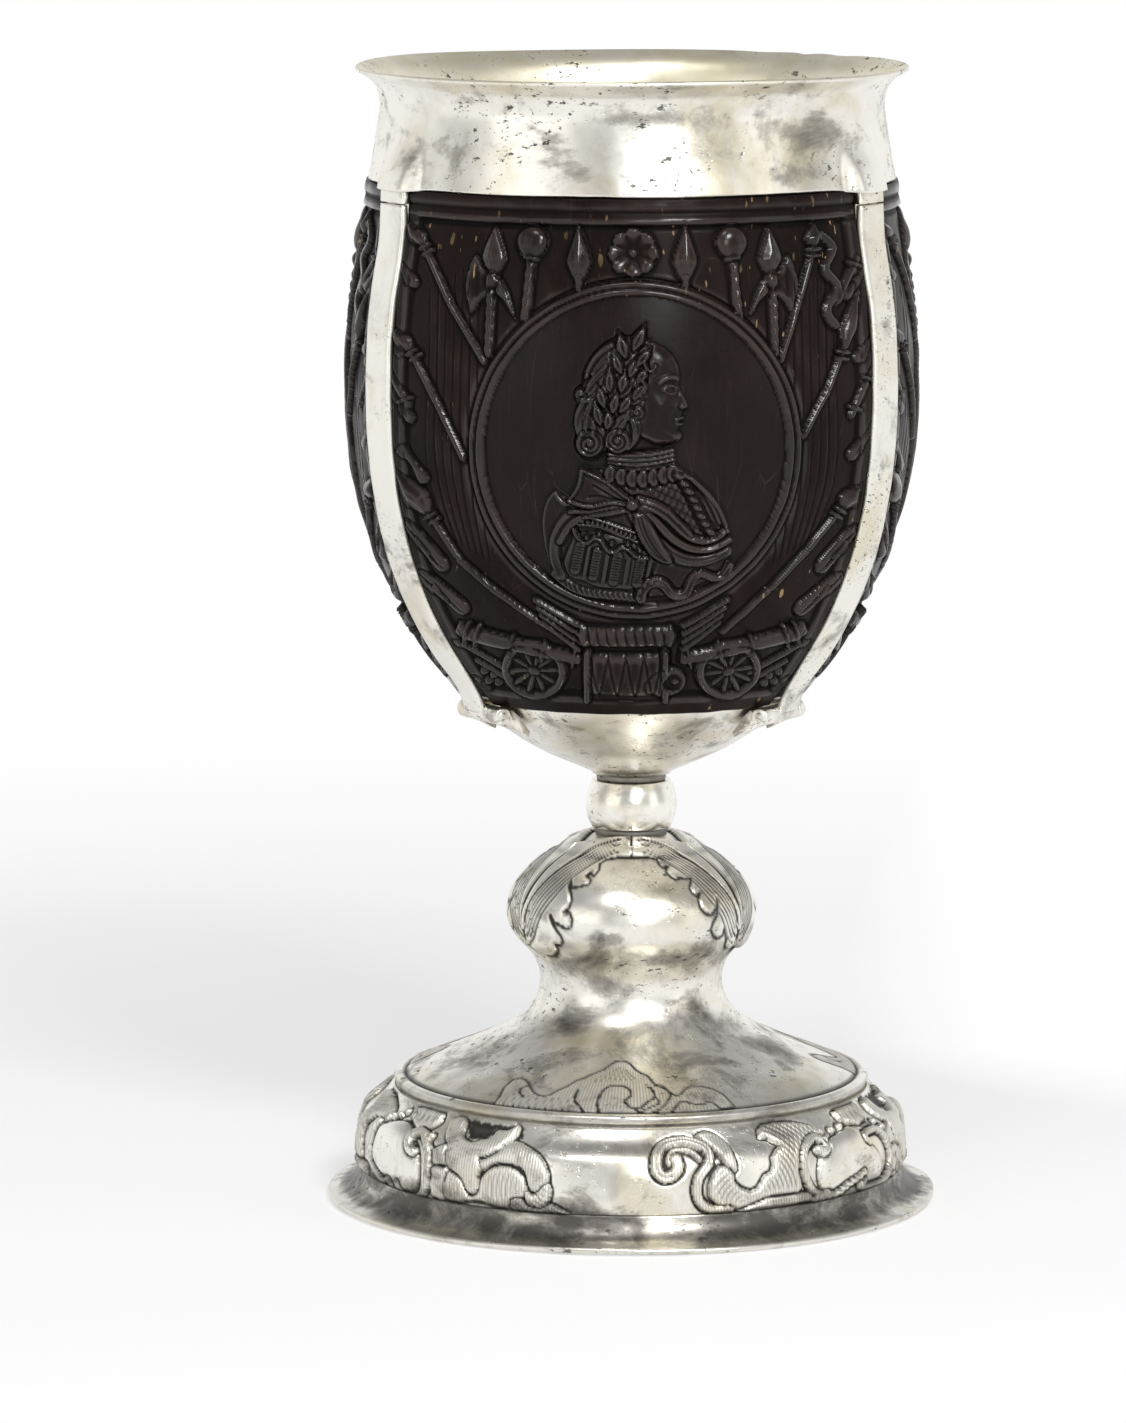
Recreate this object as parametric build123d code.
from build123d import *
from math import atan2, cos, degrees, hypot, radians, sin, sqrt
import os

os.makedirs("parts", exist_ok=True)

# Standing cup: a carved coconut shell held between a silver calyx and a flared silver lip by
# three hinged straps, on a ball stem and a domed, stepped foot. Millimetres, +Z up, origin on
# the table under the middle of the foot, front of the cup towards -Y.

# Overall sizes
CUP_HEIGHT = 204.0
FOOT_RADIUS = 54.9
SHEET = 1.1

# Heights of the joints between the pieces
BORDER_BOTTOM_Z = 6.0
SCROLL_ANGLES = (212.0, 325.0, 87.0)
SCROLL_RISE = 0.9
OVAL_Z = 11.8
OVAL_WIDTH = 15.0
OVAL_HEIGHT = 9.6
BELL_EDGE_Z = 20.1
CROWN_Z = 66.0
BALL_Z = 71.5
CALYX_Z = 77.0
CALYX_RIM_Z = 92.4
COLLAR_EDGE_Z = 183.7
SHELL_TOP_Z = 183.4
MOUTH_Z = 189.0

# Stem
BALL_RADIUS = 8.2
BALL_LOW_Z = 67.2
BALL_TOP_Z = 75.7
ROD_RADIUS = 2.0
ROD_END_Z = 55.0
ROD_HEAD_RADIUS = 3.6
ROD_HOLE_RADIUS = 2.05

# Coconut shell
SHELL_STEP_RADIUS = 30.4
SHELL_WALL = 3.8
MOUTH_RADIUS = 42.0
RELIEF_RISE = 0.75
MEDALLION_Z = 140.7
MEDALLION_RADIUS = 28.6
MEDALLION_BEAD = 1.15
MEDALLION_GAP = 0.5
PANEL_ANGLES = {"front": 270.0, "left": 150.0, "right": 30.0}
TROPHY_RISE = 1.1
DEVICE_RISE = 1.5
WHEEL_X = 16.8
WHEEL_Z = 100.2
WHEEL_RADIUS = 5.7
WHEEL_SPOKES = 10
ROSETTE_Z = 174.4
ROSETTE_RADIUS = 4.2
PETALS = 8

# Trophies on the left half of a panel, seen square from its front: start, end, width at both
SHAFTS = [
    ((-35.8, 174.2), (-25.4, 155.2), 1.3, 1.3),
    ((-38.1, 155.9), (-29.1, 138.2), 1.3, 1.3),
    ((-34.9, 127.5), (-23.7, 114.8), 1.3, 1.3),
    ((-23.7, 114.8), (-9.4, 105.2), 1.3, 1.2),
    ((-17.2, 173.4), (-18.3, 163.0), 1.8, 1.6),
    ((-24.2, 168.6), (-24.6, 156.8), 1.6, 1.6),
    ((-9.1, 170.0), (-9.1, 167.8), 1.4, 1.3),
    ((-29.0, 106.3), (-9.4, 103.0), 3.8, 2.6),
    ((-30.4, 104.3), (-20.5, 99.5), 1.2, 1.2),
    ((-38.4, 124.8), (-33.2, 118.9), 2.8, 3.6),
    ((-35.8, 115.9), (-29.7, 111.1), 2.8, 3.6),
]
# Pointed heads: tip, foot, full width
SPEAR_HEADS = [
    ((-9.1, 178.7), (-9.1, 169.6), 4.3),
    ((-23.3, 178.5), (-23.8, 170.0), 4.0),
    ((-38.9, 178.0), (-35.6, 174.0), 2.8),
    ((-41.9, 160.0), (-38.0, 155.8), 2.8),
    ((-41.3, 135.3), (-34.8, 127.4), 4.2),
]

# Straps and their hinges
STRAP_ANGLES = {"left": 210.0, "right": 330.0, "back": 90.0}
LONG_KNUCKLE_SIDE = {"left": 1, "right": -1, "back": 1}
STRAP_WIDTH = 8.4
STRAP_WAIST = 6.2
STRAP_THICKNESS = 1.35
STRAP_TOP_Z = 180.9
HINGE_RADIUS = 31.0
HINGE_Z = 90.2
BARREL_RADIUS = 1.6
PIN_RADIUS = 0.95
PIN_FIT = 0.02
PIN_RUNNING = 0.06
STRAP_KNUCKLE = 6.7
LONG_KNUCKLE = 5.1
SHORT_KNUCKLE = 2.2
KNUCKLE_GAP = 0.12

# Lugs under the lip, behind the top of each strap
LUG_INNER = 46.65
LUG_THICKNESS = 0.7
LUG_WIDTH = 7.6
LUG_LOW_Z = 176.6
LUG_TOP_Z = 186.4

# Outer face of the ground of the shell, from the collar down to the calyx rim
SHELL_OUTER = [
    (46.0, SHELL_TOP_Z),
    (47.3, 176.0),
    (49.1, 165.0),
    (50.15, 152.0),
    (50.1, 143.0),
    (48.9, 131.0),
    (46.0, 119.0),
    (41.5, 108.5),
    (35.8, 99.4),
    (SHELL_STEP_RADIUS, CALYX_RIM_Z + 0.1),
]
# Hollow of the shell, from the mouth down to the middle of the bottom
SHELL_INNER = [
    (MOUTH_RADIUS, MOUTH_Z),
    (42.6, 178.0),
    (45.0, 166.0),
    (46.3, 150.0),
    (45.4, 134.0),
    (41.6, 118.0),
    (34.4, 103.5),
    (24.5, 93.8),
    (12.0, 88.8),
    (0.0, 87.4),
]
# Bowl of the calyx, from its small base up to its rim
CALYX_OUTER = [
    (7.4, CALYX_Z + 0.5),
    (12.2, 79.6),
    (18.7, 82.8),
    (24.6, 86.9),
    (28.3, 90.1),
    (30.0, CALYX_RIM_Z),
]
# Raised knop, neck and bell of the foot, from the crown down to the bell's edge
DOME_OUTER = [
    (6.6, CROWN_Z),
    (13.5, 63.2),
    (19.4, 58.8),
    (22.3, 53.6),
    (21.6, 48.7),
    (17.8, 44.1),
    (16.4, 39.4),
    (18.0, 34.6),
    (23.6, 30.2),
    (33.0, 25.9),
    (40.2, 22.9),
    (42.5, 21.5),
]
# Bombe border of the foot, from the step under the bell down to the flange
BORDER_OUTER = [
    (43.2, BELL_EDGE_Z),
    (45.0, 18.1),
    (47.6, 15.9),
    (48.8, 12.6),
    (49.05, 9.0),
    (49.1, BORDER_BOTTOM_Z),
]
# Spreading flange, from the border down to its edge on the table
FLANGE_OUTER = [
    (49.15, BORDER_BOTTOM_Z),
    (49.6, 4.2),
    (51.2, 2.2),
    (FOOT_RADIUS, 0.9),
]
# Collar and flared lip, from the lower edge of the collar up to the rim
LIP_OUTER = [
    (46.85, COLLAR_EDGE_Z),
    (46.0, 188.5),
    (45.1, 194.0),
    (44.8, 197.4),
    (45.6, 200.3),
    (47.4, 202.2),
    (49.25, 203.35),
]


def flat(pairs):
    return [Vector(r, 0, z) for r, z in pairs]


def inset(pairs, depth):
    """Shift a chain of (radius, height) points sideways by depth, to its right hand."""
    moved = []
    last = len(pairs) - 1
    for i, (r, z) in enumerate(pairs):
        ra, za = pairs[max(i - 1, 0)]
        rb, zb = pairs[min(i + 1, last)]
        run = hypot(rb - ra, zb - za)
        moved.append((r + depth * (zb - za) / run, z - depth * (rb - ra) / run))
    return moved


def turned(*chains):
    """Revolve a closed outline about the axis; each chain of points is one smooth curve."""
    edges = []
    for n, chain in enumerate(chains):
        follower = chains[(n + 1) % len(chains)]
        edges.append(Spline(*flat(chain)) if len(chain) > 2 else Line(*flat(chain)))
        if hypot(chain[-1][0] - follower[0][0], chain[-1][1] - follower[0][1]) > 1e-6:
            edges.append(Line(*flat([chain[-1], follower[0]])))
    return revolve(make_face(Wire(edges)), Axis.Z, 360)


def disc(radius, low, high, hole=0.0):
    body = Pos(0, 0, low) * Cylinder(radius, high - low, align=(Align.CENTER, Align.CENTER, Align.MIN))
    if hole:
        body -= Pos(0, 0, low) * Cylinder(hole, high - low, align=(Align.CENTER, Align.CENTER, Align.MIN))
    return body


def around(solid, angle):
    return Rot(0, 0, angle) * solid


def tangent_rod(radius, start, end):
    """A round bar along the hinge axis of a strap that leaves the cup along +X."""
    bar = Cylinder(radius, end - start, align=(Align.CENTER, Align.CENTER, Align.MIN))
    return Pos(HINGE_RADIUS, start, HINGE_Z) * Rot(-90, 0, 0) * bar


def make_foot_flange():
    under = [(FOOT_RADIUS, 0.0), (50.6, 0.0)]
    rise = [(50.6, 0.0), (48.7, 2.6), (48.1, BORDER_BOTTOM_Z)]
    return turned(FLANGE_OUTER, under, rise)


def stroke(start, end, width, end_width):
    """A straight bar from start to end in a sketch, tapered from one width to the other."""
    run = hypot(end[0] - start[0], end[1] - start[1])
    outline = Polyline((0, -width / 2), (run, -end_width / 2), (run, end_width / 2), (0, width / 2), close=True)
    turn = degrees(atan2(end[1] - start[1], end[0] - start[0]))
    return Pos(start[0], start[1]) * Rot(0, 0, turn) * make_face(outline)


def half_scroll():
    """Sketch of the rococo work on one side of an oval field: C-scroll, shell, crest and S-scroll."""
    bow = Ellipse(OVAL_WIDTH / 2 + 2.6, OVAL_HEIGHT / 2 + 1.1)
    bow -= Ellipse(OVAL_WIDTH / 2 + 1.2, OVAL_HEIGHT / 2 + 0.3)
    bow &= Pos(OVAL_WIDTH, 0) * Rectangle(2 * OVAL_WIDTH - 6, 20)
    forms = Pos(0, OVAL_Z) * bow
    crest = Spline(
        (12.4, 16.4), (19.0, 18.6), (21.5, 16.0), (25.5, 16.8), (22.0, 11.5), (18.5, 7.2), (12.6, 8.4),
        periodic=True,
    )
    leaf = Polyline((18.2, 7.4), (25.0, 9.5), (29.4, 13.2), (31.8, 10.2), (29.2, 6.9), (23.0, 6.6), close=True)
    forms += make_face(crest)
    forms += make_face(leaf)
    forms += Pos(34.2, 15.0) * (Circle(2.6) - Circle(1.1))
    forms += stroke((31.9, 14.8), (30.2, 8.4), 1.7, 1.7)
    return forms


def make_foot_border():
    hollow = inset(BORDER_OUTER, SHEET)
    hollow[0] = (41.4, BELL_EDGE_Z)
    hollow[1] = (43.9, 17.4)
    hollow[-1] = (48.1, BORDER_BOTTOM_Z)
    border = turned(BORDER_OUTER, list(reversed(hollow)))
    skin = turned(inset(BORDER_OUTER, -SCROLL_RISE), list(reversed(inset(BORDER_OUTER, 0.4))))
    skin &= disc(70, BORDER_BOTTOM_Z + 0.5, BELL_EDGE_Z - 0.7)
    forms = half_scroll()
    forms += mirror(forms, Plane.YZ)
    forms += Pos(0, OVAL_Z) * Ellipse(OVAL_WIDTH / 2, OVAL_HEIGHT / 2)
    plane = Plane(origin=(0, 0, 0), x_dir=(1, 0, 0), z_dir=(0, -1, 0)).offset(20.0)
    relief = skin & extrude(plane * forms, 40.0)
    return border + [around(relief, angle - 270.0) for angle in SCROLL_ANGLES]


def make_foot_dome():
    hollow = inset(DOME_OUTER, SHEET)
    hollow[0] = (6.6, CROWN_Z - SHEET)
    hollow[-1] = (41.6, 20.6)
    edge = [(42.5, 21.5), (42.75, 21.0), (42.7, BELL_EDGE_Z)]
    lip = [(42.7, BELL_EDGE_Z), (41.6, BELL_EDGE_Z)]
    crown = [(ROD_HOLE_RADIUS, CROWN_Z - SHEET), (ROD_HOLE_RADIUS, CROWN_Z)]
    return turned(DOME_OUTER, edge, lip, list(reversed(hollow)), crown)


def make_ball_knop():
    ball = Pos(0, 0, BALL_Z) * Sphere(BALL_RADIUS)
    ball &= disc(BALL_RADIUS + 1, BALL_LOW_Z, BALL_TOP_Z)
    return ball - disc(ROD_HOLE_RADIUS, BALL_LOW_Z, BALL_TOP_Z)


def make_calyx():
    hollow = inset(CALYX_OUTER, -1.2)
    hollow[0] = (7.0, CALYX_Z + 1.9)
    hollow[-1] = (28.75, CALYX_RIM_Z)
    base = [(ROD_HOLE_RADIUS, CALYX_Z + 1.9), (ROD_HOLE_RADIUS, CALYX_Z)]
    foot = [(ROD_HOLE_RADIUS, CALYX_Z), (7.1, CALYX_Z)]
    return turned(CALYX_OUTER, list(reversed(hollow)), base, foot)


def make_stem_rod():
    head_z = CALYX_Z + 1.95
    rod = disc(ROD_RADIUS, ROD_END_Z, head_z)
    rod = chamfer(rod.edges().group_by(Axis.Z)[0], 0.5)
    head = disc(ROD_HEAD_RADIUS, head_z, head_z + 1.3)
    head = fillet(head.edges().group_by(Axis.Z)[-1], 0.6)
    return rod + head


def make_stem_washer():
    return disc(5.6, CROWN_Z - SHEET - 1.35, CROWN_Z - SHEET - 0.05, ROD_HOLE_RADIUS)


def make_stem_nut():
    top = CROWN_Z - SHEET - 1.4
    nut = Pos(0, 0, top) * Box(8.0, 8.0, 4.2, align=(Align.CENTER, Align.CENTER, Align.MAX))
    nut = chamfer(nut.edges().filter_by(Axis.Z), 0.7)
    return nut - disc(ROD_HOLE_RADIUS, top - 4.2, top)


def shell_skin(rise, low=CALYX_RIM_Z + 0.1, high=179.5):
    """Thin skin that stands on the ground of the shell; the raised borders are cut from it."""
    skin = turned(inset(SHELL_OUTER, -rise), list(reversed(inset(SHELL_OUTER, 0.4))))
    return skin & disc(70, low, high)


def make_strap_borders():
    """Pairs of raised lines that run down both sides of every strap."""
    bars = []
    for angle in STRAP_ANGLES.values():
        for side in (-1, 1):
            bar = Pos(45, side * 5.65, 135) * Box(60, 1.3, 90)
            bars.append(around(bar, angle))
    return Compound(children=bars)


def make_medallion_rings():
    """Two beads round each of the three medallions, seen square from their own side."""
    rings = []
    inner = MEDALLION_RADIUS - 2 * MEDALLION_BEAD - MEDALLION_GAP
    for angle in (270.0, 30.0, 150.0):
        for start in (inner, MEDALLION_RADIUS - MEDALLION_BEAD):
            bead = Cylinder(start + MEDALLION_BEAD, 60) - Cylinder(start, 60)
            rings.append(around(Pos(45, 0, MEDALLION_Z) * Rot(0, 90, 0) * bead, angle))
    return Compound(children=rings)


def spear_head(tip, foot, width):
    run = hypot(foot[0] - tip[0], foot[1] - tip[1])
    leaf = make_face(
        Polyline(
            (0, 0), (0.62 * run, -width / 2), (run, -width / 5), (run, width / 5), (0.62 * run, width / 2),
            close=True,
        )
    )
    turn = degrees(atan2(foot[1] - tip[1], foot[0] - tip[0]))
    return Pos(tip[0], tip[1]) * Rot(0, 0, turn) * leaf


def half_trophy():
    """Lances, mace, halberd, gun, wheel and ramrods on the left half of a panel."""
    forms = [stroke(*s) for s in SHAFTS] + [spear_head(*s) for s in SPEAR_HEADS]
    forms.append(Pos(-17.0, 175.9) * Circle(2.9))
    axe = make_face(
        Polyline((-24.2, 170.2), (-26.8, 173.4), (-28.5, 168.4), (-27.6, 163.3), (-24.6, 166.8), close=True)
    )
    beak = make_face(Polyline((-23.9, 170.0), (-21.6, 168.4), (-20.2, 162.9), (-23.5, 166.9), close=True))
    forms += [axe, beak]
    for k in range(4):
        forms.append(stroke((-16.6 + 0.5 * k, 113.6 - 1.35 * k), (-8.9, 109.0 - 1.5 * k), 1.0, 1.0))
    rim = Circle(WHEEL_RADIUS) - Circle(WHEEL_RADIUS - 1.4)
    spokes = [
        Rot(0, 0, 360.0 * (k + 0.35) / WHEEL_SPOKES) * stroke((1.0, 0), (WHEEL_RADIUS - 1.0, 0), 0.6, 1.1)
        for k in range(WHEEL_SPOKES)
    ]
    wheel = rim + spokes
    wheel += Circle(1.4)
    forms.append(Pos(-WHEEL_X, WHEEL_Z) * wheel)
    return forms


def panel_trophies():
    """Sketch of the trophies of arms round one medallion."""
    forms = Sketch() + half_trophy()
    forms += mirror(forms, Plane.YZ)
    forms += Pos(-0.3, 107.1) * SlotOverall(15.8, 4.5)
    forms += Pos(-0.9, 99.8) * Rectangle(14.8, 8.8)
    petal = Pos(0, ROSETTE_RADIUS * 0.62) * Ellipse(1.35, ROSETTE_RADIUS * 0.42)
    petals = [Rot(0, 0, 360.0 * (k + 0.5) / PETALS) * petal for k in range(PETALS)]
    rosette = Circle(1.2) + petals
    forms += Pos(0.0, ROSETTE_Z) * rosette
    return forms


def portrait():
    """Sketch of the portrait bust in the front medallion: head, neck, shoulders and laurel."""
    head = Pos(-0.5, MEDALLION_Z + 10.3) * Ellipse(8.2, 9.3)
    z = MEDALLION_Z
    neck = make_face(Polyline((-4.6, z + 3.0), (5.4, z + 3.0), (6.3, z - 5.0), (-4.9, z - 5.0), close=True))
    shoulders = make_face(
        Spline(
            (-9.3, z - 4.2), (-14.4, z - 8.0), (-15.6, z - 15.5), (-12.6, z - 24.8), (0.0, z - 25.0),
            (12.5, z - 22.4), (16.2, z - 16.5), (14.2, z - 11.2), (6.4, z - 3.5), (-1.5, z - 2.6),
            periodic=True,
        )
    )
    curl = Pos(-7.6, MEDALLION_Z + 1.1) * Circle(2.2)
    return head + neck + shoulders + curl


def crossed_arms():
    """Sketch of the device in a side medallion: crossed swords in a wreath."""
    z = MEDALLION_Z
    ring = Circle(20.6) - Circle(17.0)
    gap = Pos(0, 19.5) * Rectangle(9.0, 8.0)
    wreath = Pos(0, z) * (ring - gap)
    sword = stroke((-10.2, z - 12.2), (10.4, z + 12.6), 1.9, 1.1)
    guard = stroke((-9.9, z - 5.6), (-4.5, z - 10.1), 1.4, 1.4)
    blades = sword + guard
    blades += mirror(blades, Plane.YZ)
    return wreath + blades


def strap_lanes():
    """Clear ways beside the two straps next to the front panel."""
    lane = Pos(45, 0, 135) * Box(60, STRAP_WIDTH + 1.6, 100)
    return around(lane, STRAP_ANGLES["left"]) + around(lane, STRAP_ANGLES["right"])


def raised_on_shell(sketch, rise, angle):
    """Turn a sketch, drawn as seen from a panel's front, into low relief on the shell."""
    plane = Plane(origin=(0, 0, 0), x_dir=(1, 0, 0), z_dir=(0, -1, 0)).offset(24.0)
    prism = extrude(plane * sketch, 36.0) - strap_lanes()
    relief = shell_skin(rise) & prism
    return around(relief, angle - 270.0)


def make_coconut_bowl():
    seat = [(SHELL_STEP_RADIUS, CALYX_RIM_Z + 0.1), (28.3, CALYX_RIM_Z + 0.1)]
    bottom = [(28.3, CALYX_RIM_Z + 0.1), (25.4, 89.6), (20.2, 86.2), (11.0, 83.4), (0.0, 82.4)]
    axis_line = [(0.0, 82.4), (0.0, 87.4)]
    rim = [(MOUTH_RADIUS, MOUTH_Z), (44.3, MOUTH_Z)]
    rebate = [(44.3, MOUTH_Z), (45.2, SHELL_TOP_Z)]
    bowl = turned(SHELL_OUTER, seat, bottom, axis_line, list(reversed(SHELL_INNER)), rim, rebate)
    top_roll = turned(
        [(45.4, SHELL_TOP_Z), (46.9, SHELL_TOP_Z), (47.5, 182.8), (47.6, 181.9), (47.3, 181.4)],
        [(47.3, 181.4), (47.35, 180.4), (47.75, 179.3)],
        [(47.75, 179.3), (47.6, 178.9), (45.4, 178.9)],
    )
    base_band = shell_skin(0.6, high=95.2)
    bowl += top_roll
    bowl += base_band
    skin = shell_skin(RELIEF_RISE)
    bowl += skin & make_strap_borders()
    bowl += skin & make_medallion_rings()
    trophies = panel_trophies()
    devices = {"front": portrait(), "left": crossed_arms(), "right": crossed_arms()}
    carved = [raised_on_shell(trophies, TROPHY_RISE, angle) for angle in PANEL_ANGLES.values()]
    carved += [raised_on_shell(devices[place], DEVICE_RISE, angle) for place, angle in PANEL_ANGLES.items()]
    bowl += carved
    for angle in STRAP_ANGLES.values():
        channel = Pos(LUG_INNER - 0.3, 0, 176.0) * Box(
            8, STRAP_WIDTH + 0.8, 9, align=(Align.MIN, Align.CENTER, Align.MIN)
        )
        low = Pos(28, 0, 92.0) * Box(30, STRAP_WIDTH + 0.8, 3.2, align=(Align.MIN, Align.CENTER, Align.MIN))
        bowl -= around(channel, angle)
        bowl -= around(low & shell_skin(1.4, high=96.0) - turned_ground(), angle)
    return bowl


def turned_ground():
    """The shell as a plain solid without any raised work."""
    low_z = SHELL_OUTER[-1][1]
    return turned(SHELL_OUTER, [SHELL_OUTER[-1], (0.0, low_z)], [(0.0, low_z), (0.0, SHELL_TOP_Z)])


def strap_path():
    """Middle line of a strap that lies 0.3 mm off the shell and turns down onto its hinge."""
    off = -(0.3 + STRAP_THICKNESS / 2)
    lie = inset(SHELL_OUTER, off)
    top = [(48.17, STRAP_TOP_Z), (48.2, 177.2)]
    foot = [(32.9, 93.2), (HINGE_RADIUS + 0.95, HINGE_Z + 0.2)]
    return Spline(*flat(top + lie[2:-1] + foot), tangents=[(0, 0, -1), (-0.15, 0, -1)])


def make_strap(angle, side):
    path = strap_path()
    section = Plane(origin=path @ 0, z_dir=path % 0, x_dir=(0, 1, 0)) * RectangleRounded(
        STRAP_WIDTH, STRAP_THICKNESS, 0.4
    )
    strap = sweep(section, path=path)
    half = STRAP_WIDTH / 2 + 0.1
    waist = STRAP_WAIST / 2
    knuckle = STRAP_KNUCKLE / 2
    plan = Polyline(
        (0, -half, STRAP_TOP_Z + 2),
        (0, -half, 101.0),
        (0, -waist, 95.2),
        (0, -waist, 93.6),
        (0, -knuckle, 91.6),
        (0, -knuckle, 88.0),
        (0, knuckle, 88.0),
        (0, knuckle, 91.6),
        (0, waist, 93.6),
        (0, waist, 95.2),
        (0, half, 101.0),
        (0, half, STRAP_TOP_Z + 2),
        close=True,
    )
    strap &= extrude(make_face(plan), 70, dir=(1, 0, 0))
    strap += tangent_rod(BARREL_RADIUS, -STRAP_KNUCKLE / 2, STRAP_KNUCKLE / 2)
    strap -= tangent_rod(PIN_RADIUS + PIN_RUNNING, -STRAP_KNUCKLE, STRAP_KNUCKLE)
    return around(strap, angle)


def knuckle_spans(side):
    start = STRAP_KNUCKLE / 2 + KNUCKLE_GAP
    long_span = (start, start + LONG_KNUCKLE)
    short_span = (-start - SHORT_KNUCKLE, -start)
    if side < 0:
        long_span = (-long_span[1], -long_span[0])
        short_span = (-short_span[1], -short_span[0])
    return long_span, short_span


def make_hinge_bracket(angle, side):
    spans = knuckle_spans(side)
    low = min(spans[0][0], spans[1][0])
    high = max(spans[0][1], spans[1][1])
    leaf_line = Polyline(
        (23.0, 0, 86.2),
        (26.2, 0, 86.2),
        (29.6, 0, 88.0),
        (29.6, 0, 88.6),
        (28.9, 0, 89.3),
        (23.0, 0, 89.3),
        close=True,
    )
    bracket = Pos(0, low, 0) * extrude(make_face(leaf_line), high - low, dir=(0, 1, 0))
    for start, end in spans:
        web_line = Polyline(
            (27.0, 0, 88.0),
            (29.6, 0, 88.0),
            (HINGE_RADIUS, 0, HINGE_Z - BARREL_RADIUS),
            (HINGE_RADIUS, 0, HINGE_Z + BARREL_RADIUS * 0.6),
            (27.0, 0, HINGE_Z + BARREL_RADIUS * 0.6),
            close=True,
        )
        bracket += Pos(0, start, 0) * extrude(make_face(web_line), end - start, dir=(0, 1, 0))
        bracket += tangent_rod(BARREL_RADIUS, start, end)
    bracket -= tangent_rod(BARREL_RADIUS + 0.2, -start_gap(), start_gap())
    bracket -= tangent_rod(PIN_RADIUS + PIN_FIT, low - 1, high + 1)
    bracket -= turned(
        inset(CALYX_OUTER, 0.04),
        [inset(CALYX_OUTER, 0.04)[-1], (0.0, CALYX_RIM_Z)],
        [(0.0, CALYX_RIM_Z), (0.0, CALYX_Z)],
    )
    return around(bracket, angle)


def start_gap():
    return STRAP_KNUCKLE / 2 + KNUCKLE_GAP


def make_hinge_pin(angle, side):
    spans = knuckle_spans(side)
    low = min(spans[0][0], spans[1][0]) - 0.25
    high = max(spans[0][1], spans[1][1]) + 0.25
    return around(tangent_rod(PIN_RADIUS, low, high), angle)


def make_lip_mount():
    hollow = inset(LIP_OUTER, -SHEET)
    hollow[0] = (LIP_OUTER[0][0] - SHEET, COLLAR_EDGE_Z)
    hollow[-1] = (48.35, CUP_HEIGHT - 0.1)
    rim = [LIP_OUTER[-1], (49.2, 203.75), (48.85, CUP_HEIGHT - 0.02), hollow[-1]]
    lip = turned(LIP_OUTER, rim, list(reversed(hollow)))
    swell_line = Polyline(
        (45.6, 0, COLLAR_EDGE_Z),
        (47.8, 0, COLLAR_EDGE_Z),
        (47.6, 0, 186.0),
        (45.2, 0, 196.5),
        (44.6, 0, 196.5),
        close=True,
    )
    throat = turned(
        list(reversed(hollow)),
        [hollow[0], (0.0, COLLAR_EDGE_Z)],
        [(0.0, COLLAR_EDGE_Z), (0.0, CUP_HEIGHT - 0.1)],
    )
    swell = Pos(0, -4.8, 0) * extrude(make_face(swell_line), 9.6, dir=(0, 1, 0))
    swell = chamfer(swell.edges().filter_by(Axis.Y).sort_by(Axis.X)[-1:], 0.1)
    for angle in STRAP_ANGLES.values():
        lip += around(swell, angle) - throat
        lip -= around(make_lug_blank(0.03), angle)
    return lip


def make_lug_blank(grow=0.0):
    wide = LUG_WIDTH + 2 * grow
    thick = LUG_THICKNESS + 2 * grow
    tall = LUG_TOP_Z - LUG_LOW_Z + grow
    return Pos(LUG_INNER - grow, 0, LUG_LOW_Z) * Box(
        thick, wide, tall, align=(Align.MIN, Align.CENTER, Align.MIN)
    )


def make_lip_lug(angle):
    lug = make_lug_blank()
    lug = fillet(lug.edges().filter_by(Axis.X).group_by(Axis.Z)[0], 1.2)
    return around(lug, angle)


def make_lip_sleeve():
    tube = disc(MOUTH_RADIUS - 0.35, 174.0, MOUTH_Z + 0.1) - disc(MOUTH_RADIUS - 1.25, 174.0, MOUTH_Z + 0.1)
    ledge = turned(
        [(MOUTH_RADIUS - 1.25, MOUTH_Z + 0.1), (44.75, MOUTH_Z + 0.1)],
        [(44.75, MOUTH_Z + 0.1), (44.6, MOUTH_Z + 1.1)],
        [(44.6, MOUTH_Z + 1.1), (42.0, MOUTH_Z + 1.1), (MOUTH_RADIUS - 1.25, MOUTH_Z + 0.1)],
    )
    return tube + ledge


parts = {
    "foot_flange": make_foot_flange(),
    "foot_border": make_foot_border(),
    "foot_dome": make_foot_dome(),
    "knop_collar": disc(6.4, CROWN_Z, BALL_LOW_Z, ROD_HOLE_RADIUS),
    "ball_knop": make_ball_knop(),
    "calyx_collar": disc(6.1, BALL_TOP_Z, CALYX_Z, ROD_HOLE_RADIUS),
    "calyx": make_calyx(),
    "stem_rod": make_stem_rod(),
    "stem_washer": make_stem_washer(),
    "stem_nut": make_stem_nut(),
    "coconut_bowl": make_coconut_bowl(),
    "lip_mount": make_lip_mount(),
    "lip_sleeve": make_lip_sleeve(),
}
for place, angle in STRAP_ANGLES.items():
    side = LONG_KNUCKLE_SIDE[place]
    parts["strap_" + place] = make_strap(angle, side)
    parts["hinge_bracket_" + place] = make_hinge_bracket(angle, side)
    parts["hinge_pin_" + place] = make_hinge_pin(angle, side)
    parts["lip_lug_" + place] = make_lip_lug(angle)

for name, solid in parts.items():
    solid.label = name
    export_step(solid, os.path.join("parts", name + ".step"))
